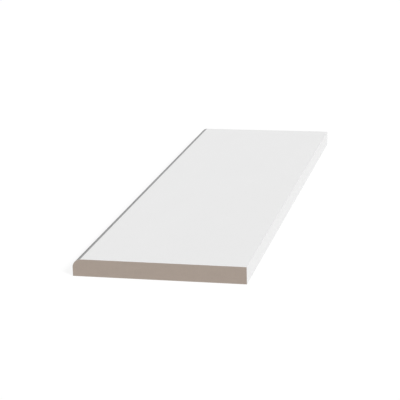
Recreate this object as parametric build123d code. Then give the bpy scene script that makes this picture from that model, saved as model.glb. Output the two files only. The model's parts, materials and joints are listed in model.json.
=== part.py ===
from build123d import *
import os

# A short length of flat MDF skirting board. It lies on its back, with its face up.
# X runs across the width, Y along the length and Z up through the thickness.
# The origin is the middle of the back. On a wall, the edge at +X stands on the floor
# and the rounded edge at -X is the upper one.

# Driving dimensions, in millimetres
board_width = 120.0  # from the floor edge to the upper edge
board_thickness = 12.0  # from the back to the face
board_length = 400.0  # from one sawn end to the other
upper_edge_radius = 6.0  # where the face rolls over into the upper edge


def board_section():
    """The milled section: square at the floor edge and the back, round between the face and the upper edge."""
    blank = Rectangle(board_width, board_thickness, align=(Align.CENTER, Align.MIN))
    face_corners = blank.vertices().group_by(Axis.Y)[-1]
    upper_corner = face_corners.sort_by(Axis.X)[0]
    return fillet(upper_corner, upper_edge_radius)


def skirting_board():
    """The section run along the length and sawn square at both ends."""
    return extrude(Plane.XZ * board_section(), board_length / 2, both=True)


os.makedirs("parts", exist_ok=True)
export_step(skirting_board(), "parts/skirting_board.step")
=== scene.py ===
import json
import math

import bmesh
import bpy
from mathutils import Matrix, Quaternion, Vector


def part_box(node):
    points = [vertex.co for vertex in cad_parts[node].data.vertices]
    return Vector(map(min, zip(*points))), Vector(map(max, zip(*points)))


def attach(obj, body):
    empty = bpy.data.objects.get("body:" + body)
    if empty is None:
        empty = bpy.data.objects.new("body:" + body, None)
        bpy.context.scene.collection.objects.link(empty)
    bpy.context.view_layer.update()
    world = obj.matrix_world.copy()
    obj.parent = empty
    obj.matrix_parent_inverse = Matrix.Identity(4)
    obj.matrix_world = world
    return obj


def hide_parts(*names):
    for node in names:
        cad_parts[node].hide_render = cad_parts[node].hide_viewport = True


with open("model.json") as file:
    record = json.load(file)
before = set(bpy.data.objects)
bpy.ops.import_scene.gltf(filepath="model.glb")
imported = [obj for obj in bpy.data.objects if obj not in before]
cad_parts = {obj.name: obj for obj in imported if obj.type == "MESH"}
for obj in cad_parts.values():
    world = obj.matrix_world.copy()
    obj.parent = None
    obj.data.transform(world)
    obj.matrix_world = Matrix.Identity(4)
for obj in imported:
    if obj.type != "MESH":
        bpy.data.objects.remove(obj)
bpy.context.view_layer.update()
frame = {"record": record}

# A flat MDF skirting board with one rounded long edge, lying on its back with its face up.
# A white coat covers the face and both long edges. The sawn ends and the back are bare board.
# Sizes are in metres, in the frame's axes: X across the width, Y along the length, Z up.

# The board's planes, from the frame
low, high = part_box("skirting_board")
UPPER_EDGE, NEAR_END, BACK = low
FLOOR_EDGE, FAR_END, FACE = high
WIDTH = FLOOR_EDGE - UPPER_EDGE
THICKNESS = FACE - BACK

# The milled round, with its centre as X and Z, and the coat
ROUND_RADIUS = 0.006
ROUND_CENTRE = Vector((UPPER_EDGE + ROUND_RADIUS, FACE - ROUND_RADIUS))
COAT_THICKNESS = 0.00005

# Where a grey band of painted shade lies on the round, in degrees of turn from the face
PAINTED_SHADE_FULL = 7
PAINTED_SHADE_EASING = 24
PAINTED_SHADE_END = 47

# How finely the skin is divided, how close points have to be to merge, and the turn of a sharp edge
ROUND_STEPS = 24
FACE_STEPS = 12
LENGTH_STEPS = 40
MERGE_DISTANCE = COAT_THICKNESS / 100
SHARP_TURN = math.radians(30)

# The finishes, in the order in which the board's mesh numbers them
COAT, SAWN, SANDED = range(3)

# The map that the finishes are baked to: its name, the metres of board along its side, the gap
# between the surfaces on it, and how much larger the ends are drawn than the rest
MAP_NAME = "OFBake"
MAP_SIDE = 0.415
MAP_GAP = 0.004
END_ZOOM = 3.2

# Colours, in linear light
COAT_WHITE = (*frame["record"]["materials"][0]["base_color"], 1.0)
# The grey painted on the top of the round as shade
PAINTED_SHADE_GREY = (0.36, 0.36, 0.36, 1.0)
SAWN_DARK = (0.308, 0.2565, 0.218, 1.0)
SAWN_LIGHT = (0.568, 0.4755, 0.4095, 1.0)
SANDED_DARK = (0.29, 0.243, 0.204, 1.0)
SANDED_LIGHT = (0.66, 0.556, 0.476, 1.0)
BARK = (0.2, 0.155, 0.125, 1.0)
PALE_WOOD = (0.66, 0.57, 0.49, 1.0)
FLOOR_GREY = (0.13, 0.13, 0.13, 1.0)
WHITE = (1.0, 1.0, 1.0, 1.0)

# Grain of the finishes, as the size of one blotch along X, Y and Z
MOTTLE = (0.03, 0.06, 0.03)
ORANGE_PEEL = (0.0014, 0.0016, 0.0014)
STIPPLE = (0.0005, 0.0005, 0.0005)
COATER_LINES = (0.0012, 0.25, 0.0012)
WOOD_DUST = (0.0002, 0.0002, 0.0002)
SAWN_FIBRES = (0.0009, 0.0009, 0.00014)
SAWN_CLOUDS = (0.009, 0.009, 0.003)
SAWN_FLECKS = (0.0008, 0.0008, 0.00035)
SAWN_SPLINTERS = (0.0015, 0.0015, 0.0002)
SAW_LINES = (0.0006, 0.0006, 0.03)
FIBRES_ALONG = (0.00025, 0.0014, 0.00025)
FIBRES_ACROSS = (0.0014, 0.00025, 0.00025)
SANDED_CLOUDS = (0.012, 0.016, 0.012)
SANDED_FLECKS = (0.0006, 0.0008, 0.0006)
SANDED_SPLINTERS = (0.0003, 0.0018, 0.0003)
BELT_LINES = (0.0005, 0.09, 0.0005)

# How much finer noise each blotch holds, and where a blotch is strong enough to be a speck
NOISE_DETAIL = 3
NOISE_ROUGHNESS = 0.55
SPECK_START = 0.66
SPECK_FULL = 0.74

# What each grain adds to the coat's colour, roughness and relief
COAT_UNEVENNESS = 0.03
STIPPLE_DEPTH = 0.5
COATER_LINE_DEPTH = 0.3
COAT_ROUGHNESS = 0.72
COAT_RELIEF = 0.000008
COAT_SPECULAR = 0.1

# What each grain adds to the bare board's tone, roughness and relief
FIBRE_SHARE = 0.45
DUST_SHARE = 0.35
CLOUD_SHARE = 0.14
LINE_SHARE = 0.06
BARK_SHARE = 0.5
SPLINTER_SHARE = 0.25
MDF_ROUGHNESS = 0.78
FIBRE_ROUGHNESS = 0.1
LINE_DEPTH = 0.3
SAWN_RELIEF = 0.00002
SANDED_RELIEF = 0.00001
MDF_SPECULAR = 0.2

# The camera that took the picture, with its lens and sensor in millimetres
CAMERA_EYE = Vector((0.226188, -1.046221, 0.300087))
CAMERA_TARGET = Vector((-0.00631, -0.04468, 0.012))
CAMERA_ROLL = math.radians(-1.514)
CAMERA_LENS = 124.42
SENSOR_WIDTH = 36.0

# The key light, with the direction from the board towards it
KEY_DIRECTION = Vector((1.01, -0.837, 0.853))
KEY_STRENGTH = 4.245
KEY_SOFTNESS = math.radians(16)

# The light from all round, and the fill from low down behind on the left, which lights the board's
# shaded sides, with the sine of the angle up to which it reaches
AMBIENT = 0.1
FILL = 2.83
FILL_TOP = 0.6

# How bright the backdrop and an unlit floor look, and the floor's place under the board
BACKDROP_GLOW = 1.0
FLOOR_GLOW = 0.89
FLOOR_SIZE = 30.0
FLOOR_DROP = 0.0002


class Wire:
    """The output of a shader node. Arithmetic on wires adds Math nodes to the same node tree."""

    def __init__(self, tree, socket=None):
        self.tree = tree
        self.socket = socket

    def node(self, kind, settings, sockets, output=None):
        """Adds a node, sets it up, fills its sockets with values or wires, and gives one output."""
        made = self.tree.nodes.new("ShaderNode" + kind)
        for name, value in settings.items():
            setattr(made, name, value)
        inputs = {socket.identifier: socket for socket in made.inputs}
        for name, value in sockets.items():
            if isinstance(value, Wire):
                self.tree.links.new(value.socket, inputs[name])
            else:
                inputs[name].default_value = value
        outputs = {socket.identifier: socket for socket in made.outputs}
        return Wire(self.tree, outputs.get(output))

    def math(self, operation, first, second):
        """Adds a Math node."""
        return self.node("Math", {"operation": operation}, {"Value": first, "Value_001": second}, "Value")

    def __add__(self, other):
        return self.math("ADD", self, other)

    def __radd__(self, other):
        return self.math("ADD", other, self)

    def __sub__(self, other):
        return self.math("SUBTRACT", self, other)

    def __rsub__(self, other):
        return self.math("SUBTRACT", other, self)

    def __mul__(self, other):
        return self.math("MULTIPLY", self, other)

    def __rmul__(self, other):
        return self.math("MULTIPLY", other, self)


def empty_nodes(owner):
    """Clears the nodes of a material or a world, and gives the start of its wires."""
    owner.use_nodes = True
    owner.node_tree.nodes.clear()
    return Wire(owner.node_tree)


def new_material(name):
    """An empty material and the start of its wires."""
    material = bpy.data.materials.new(name)
    return material, empty_nodes(material)


def board_place(start):
    """The place of each point of the board, in metres."""
    return start.node("TexCoord", {}, {}, "Object")


def fade(value, start, end):
    """0 before start and 1 after end, with a soft change between them."""
    return value.node(
        "MapRange",
        {"interpolation_type": "SMOOTHSTEP"},
        {"Value": value, "From Min": start, "From Max": end},
        "Result",
    )


def noise(place, grain):
    """Soft noise from 0 to 1, with blotches of the grain's size."""
    per_metre = tuple(1 / size for size in grain)
    stretched = place.node(
        "VectorMath",
        {"operation": "MULTIPLY"},
        {"Vector": place, "Vector_001": per_metre},
        "Vector",
    )
    return place.node(
        "TexNoise",
        {"noise_dimensions": "3D"},
        {"Vector": stretched, "Scale": 1.0, "Detail": NOISE_DETAIL, "Roughness": NOISE_ROUGHNESS},
        "Fac",
    )


def specks(place, grain):
    """Scattered specks: 1 on them and 0 between them."""
    return fade(noise(place, grain), SPECK_START, SPECK_FULL)


def midway(first, second):
    """The mean of two values."""
    return 0.5 * (first + second)


def mix_colour(share, first, second):
    """A colour between two others."""
    return share.node(
        "Mix",
        {"data_type": "RGBA"},
        {"Factor_Float": share, "A_Color": first, "B_Color": second},
        "Result_Color",
    )


def finish_surface(start, colour, roughness, specular, height, relief):
    """Joins a colour, a roughness and a height, whose full range is the relief, to the output."""
    bump = start.node("Bump", {}, {"Height": height, "Strength": 1.0, "Distance": relief}, "Normal")
    shader = start.node(
        "BsdfPrincipled",
        {},
        {"Base Color": colour, "Roughness": roughness, "Specular IOR Level": specular, "Normal": bump},
        "BSDF",
    )
    start.node("OutputMaterial", {}, {"Surface": shader})


def steepness(degrees):
    """How steep the round is at a turn from the face: 0 when level, 1 when upright."""
    return math.sin(math.radians(degrees)) ** 2


def painted_shade_on_round(start):
    """1 where shade is painted on the top of the round, and 0 elsewhere."""
    normal = start.node("NewGeometry", {}, {}, "Normal")
    across = start.node("SeparateXYZ", {}, {"Vector": normal}, "X")
    steep = across * across
    begun = fade(steep, 0, steepness(PAINTED_SHADE_FULL))
    ended = fade(steep, steepness(PAINTED_SHADE_EASING), steepness(PAINTED_SHADE_END))
    return begun * (1 - ended)


def white_coat():
    """Matt white: a faint mottle, orange peel and lines along the length, with shade painted grey on the
    round.
    """
    material, start = new_material("white_coat")
    place = board_place(start)
    peel = noise(place, ORANGE_PEEL)
    uneven = COAT_UNEVENNESS * (noise(place, MOTTLE) + peel)
    # Painted shade: the top of the round is made grey
    colour = mix_colour(painted_shade_on_round(start), COAT_WHITE, PAINTED_SHADE_GREY)
    # Random mottle, which leans a little toward the same grey
    colour = mix_colour(uneven, colour, PAINTED_SHADE_GREY)
    height = peel + STIPPLE_DEPTH * noise(place, STIPPLE) + COATER_LINE_DEPTH * noise(place, COATER_LINES)
    finish_surface(start, colour, COAT_ROUGHNESS + uneven, COAT_SPECULAR, height, COAT_RELIEF)
    return material


def bare_mdf(start, place, fibres, grains, tones, relief):
    """Bare board: fibres between two tones, with clouds, flecks of bark, pale splinters and tool lines."""
    clouds, flecks, splinters, lines = grains
    tool_lines = noise(place, lines)
    light = FIBRE_SHARE * fibres + DUST_SHARE * noise(place, WOOD_DUST)
    light = light + CLOUD_SHARE * noise(place, clouds) + LINE_SHARE * tool_lines
    colour = mix_colour(light, *tones)
    colour = mix_colour(BARK_SHARE * specks(place, flecks), colour, BARK)
    colour = mix_colour(SPLINTER_SHARE * specks(place, splinters), colour, PALE_WOOD)
    roughness = MDF_ROUGHNESS + FIBRE_ROUGHNESS * fibres
    finish_surface(start, colour, roughness, MDF_SPECULAR, fibres + LINE_DEPTH * tool_lines, relief)


def sawn_mdf():
    """A cut across the board: fine fibres that lie flat, and the lines of the saw."""
    material, start = new_material("sawn_mdf")
    place = board_place(start)
    fibres = noise(place, SAWN_FIBRES)
    grains = (SAWN_CLOUDS, SAWN_FLECKS, SAWN_SPLINTERS, SAW_LINES)
    bare_mdf(start, place, fibres, grains, (SAWN_DARK, SAWN_LIGHT), SAWN_RELIEF)
    return material


def sanded_mdf():
    """The back as it left the board mill: matted fibres, and the lines of the sanding belt."""
    material, start = new_material("sanded_mdf")
    place = board_place(start)
    fibres = midway(noise(place, FIBRES_ALONG), noise(place, FIBRES_ACROSS))
    grains = (SANDED_CLOUDS, SANDED_FLECKS, SANDED_SPLINTERS, BELT_LINES)
    bare_mdf(start, place, fibres, grains, (SANDED_DARK, SANDED_LIGHT), SANDED_RELIEF)
    return material


def spread(first, last, steps):
    """Evenly spaced numbers from first to last."""
    return [first + (last - first) * step / steps for step in range(steps + 1)]


def outward(angle):
    """The direction at an angle in the section, from +X towards +Z."""
    return Vector((math.cos(angle), math.sin(angle)))


def face_columns():
    """Where the face is divided, from the floor edge to the start of the round."""
    return spread(FLOOR_EDGE - COAT_THICKNESS, ROUND_CENTRE.x, FACE_STEPS)


def section_lines():
    """The line of the board under its coat, and the line of the coat's outside, as points of X and Z.

    Both have the same number of points, from the floor edge over the face to the upper edge.
    """
    to_floor_edge = outward(0)
    to_face = outward(math.pi / 2)
    to_upper_edge = outward(math.pi)
    corner = Vector((FLOOR_EDGE - COAT_THICKNESS, FACE - COAT_THICKNESS))
    points_and_ways = [
        (Vector((corner.x, BACK)), to_floor_edge),
        (Vector((corner.x, ROUND_CENTRE.y)), to_floor_edge),
        (corner, to_floor_edge + to_face),
    ]
    for x in face_columns()[1:-1]:
        points_and_ways.append((Vector((x, corner.y)), to_face))
    for angle in spread(math.pi / 2, math.pi, ROUND_STEPS):
        way = outward(angle)
        points_and_ways.append((ROUND_CENTRE + (ROUND_RADIUS - COAT_THICKNESS) * way, way))
    points_and_ways.append((Vector((UPPER_EDGE + COAT_THICKNESS, BACK)), to_upper_edge))
    board = [point for point, way in points_and_ways]
    skin = [point + COAT_THICKNESS * way for point, way in points_and_ways]
    return board, skin


def map_place(across, along):
    """A place on the map, from a distance across it and one along it."""
    return ((MAP_GAP + across) / MAP_SIDE, (MAP_GAP + along) / MAP_SIDE)


def patch(mesh, points, places, finish):
    """Quads through rows of points, with the place of each point on the map."""
    map_layer = mesh.loops.layers.uv[MAP_NAME]
    rows = [[mesh.verts.new(point) for point in row] for row in points]
    for row in range(len(rows) - 1):
        for column in range(len(rows[row]) - 1):
            corners = [(row, column), (row, column + 1), (row + 1, column + 1), (row + 1, column)]
            quad = mesh.faces.new([rows[r][c] for r, c in corners])
            quad.material_index = finish
            quad.smooth = True
            for loop, (r, c) in zip(quad.loops, corners):
                loop[map_layer].uv = places[r][c]


def add_coat(mesh, skin, stations):
    """The coated skin of the floor edge, face, round and upper edge. Gives its width on the map."""
    runs = [0.0]
    for before, after in zip(skin, skin[1:]):
        runs.append(runs[-1] + (after - before).length)
    points = [[(x, y, z) for y in stations] for x, z in skin]
    places = [[map_place(run, y - NEAR_END) for y in stations] for run in runs]
    patch(mesh, points, places, COAT)
    return runs[-1]


def add_back(mesh, columns, stations, map_start):
    """The bare back, with the edge of the coat along both sides."""
    strips = [[FLOOR_EDGE, columns[0]], columns, [columns[-1], UPPER_EDGE]]
    for strip, finish in zip(strips, (COAT, SANDED, COAT)):
        points = [[(x, y, BACK) for y in stations] for x in strip]
        places = [[map_place(map_start + FLOOR_EDGE - x, y - NEAR_END) for y in stations] for x in strip]
        patch(mesh, points, places, finish)


def add_end(mesh, board, skin, columns, y, map_start):
    """A sawn end: the cut edge of the coat as a thin rim, and the board inside it."""

    def cut(rows, finish):
        points = [[(x, y, z) for x, z in row] for row in rows]
        places = [
            [map_place(map_start + END_ZOOM * (z - BACK), END_ZOOM * (FLOOR_EDGE - x)) for x, z in row]
            for row in rows
        ]
        patch(mesh, points, places, finish)

    middle = ROUND_CENTRE.y
    under_face = columns[:-1]
    under_round = board[-ROUND_STEPS - 2:-1]
    cut([skin, board], COAT)
    cut([[(x, BACK) for x in columns], [(x, middle) for x in columns]], SAWN)
    cut([[(x, middle) for x in under_face], [(x, FACE - COAT_THICKNESS) for x in under_face]], SAWN)
    # A fan about the round's centre. Its quads become triangles when the points there merge.
    cut([[ROUND_CENTRE] * len(under_round), under_round], SAWN)


def add_object(name, data):
    """Puts a mesh, lamp or camera in the scene."""
    made = bpy.data.objects.new(name, data)
    bpy.context.scene.collection.objects.link(made)
    return made


def board_mesh():
    """The board as one closed skin, each face with its finish and its place on the map."""
    board, skin = section_lines()
    stations = spread(NEAR_END, FAR_END, LENGTH_STEPS)
    columns = [*face_columns(), UPPER_EDGE + COAT_THICKNESS]
    mesh = bmesh.new()
    mesh.loops.layers.uv.new(MAP_NAME)
    map_start = add_coat(mesh, skin, stations) + MAP_GAP
    add_back(mesh, columns, stations, map_start)
    map_start += WIDTH + MAP_GAP
    for y in (NEAR_END, FAR_END):
        add_end(mesh, board, skin, columns, y, map_start)
        map_start += END_ZOOM * THICKNESS + MAP_GAP
    bmesh.ops.remove_doubles(mesh, verts=mesh.verts, dist=MERGE_DISTANCE)
    bmesh.ops.recalc_face_normals(mesh, faces=mesh.faces)
    made = bpy.data.meshes.new("coated_board")
    mesh.to_mesh(made)
    mesh.free()
    made.set_sharp_from_angle(angle=SHARP_TURN)
    return made


def skirting_board():
    """The board in its three finishes."""
    mesh = board_mesh()
    for finish in (white_coat(), sawn_mdf(), sanded_mdf()):
        mesh.materials.append(finish)
    board = add_object("coated_board", mesh)
    flat_faces = board.modifiers.new("flat_faces", "WEIGHTED_NORMAL")
    flat_faces.keep_sharp = True
    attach(board, "root")
    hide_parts("skirting_board")


def in_picture(start):
    """1 for what the camera sees, also by reflection, and 0 for the light on other things."""
    rays = ("Is Camera Ray", "Is Glossy Ray", "Is Transmission Ray")
    camera, glossy, clear = (start.node("LightPath", {}, {}, ray) for ray in rays)
    return camera + glossy + clear


def floor_paint():
    """Pale paint that looks white and keeps the board's shadow."""
    material, start = new_material("floor_paint")
    # The glow isn't sampled as a lamp, because that leaves grainy beads along the board's edges
    material.cycles.emission_sampling = "NONE"
    paint = start.node("BsdfDiffuse", {}, {"Color": FLOOR_GREY}, "BSDF")
    strength = FLOOR_GLOW * in_picture(start)
    glow = start.node("Emission", {}, {"Color": WHITE, "Strength": strength}, "Emission")
    surface = start.node("AddShader", {}, {"Shader": paint, "Shader_001": glow}, "Shader")
    start.node("OutputMaterial", {}, {"Surface": surface})
    return material


def floor():
    """A wide floor, just under the board."""
    side = FLOOR_SIZE / 2
    level = BACK - FLOOR_DROP
    corners = [(-side, -side, level), (side, -side, level), (side, side, level), (-side, side, level)]
    sheet = bpy.data.meshes.new("floor")
    sheet.from_pydata(corners, [], [(0, 1, 2, 3)])
    sheet.materials.append(floor_paint())
    add_object("floor", sheet)


def key_light():
    """One soft lamp from the front right."""
    lamp = bpy.data.lights.new("key_light", "SUN")
    lamp.energy = KEY_STRENGTH
    lamp.angle = KEY_SOFTNESS
    key = add_object("key_light", lamp)
    key.rotation_euler = KEY_DIRECTION.to_track_quat("Z", "Y").to_euler()


def fill_light(start):
    """The fill by direction: full low down behind on the left, and none from above or the front right."""
    way = start.node("TexCoord", {}, {}, "Generated")
    x, y, z = (start.node("SeparateXYZ", {}, {"Vector": way}, axis) for axis in "XYZ")
    above_floor = start.math("GREATER_THAN", z, 0)
    low_down = above_floor * (1 - fade(z, 0, FILL_TOP))
    return FILL * low_down * fade(y - x, 0, 1)


def studio():
    """Weak light from all round, the fill, and a white backdrop."""
    world = bpy.data.worlds.new("studio")
    start = empty_nodes(world)
    lit = AMBIENT + fill_light(start)
    seen = in_picture(start)
    strength = lit * (1 - seen) + BACKDROP_GLOW * seen
    light = start.node("Background", {}, {"Color": WHITE, "Strength": strength}, "Background")
    start.node("OutputWorld", {}, {"Surface": light})
    bpy.context.scene.world = world


def camera():
    """The camera where the picture was taken from."""
    lens = bpy.data.cameras.new("camera")
    lens.lens = CAMERA_LENS
    lens.sensor_width = SENSOR_WIDTH
    eye = add_object("camera", lens)
    eye.location = CAMERA_EYE
    aim = (CAMERA_TARGET - CAMERA_EYE).to_track_quat("-Z", "Y")
    eye.rotation_mode = "QUATERNION"
    eye.rotation_quaternion = aim @ Quaternion((0, 0, 1), CAMERA_ROLL)
    bpy.context.scene.camera = eye


skirting_board()
floor()
key_light()
studio()
camera()
bpy.context.scene.view_settings.view_transform = "Standard"
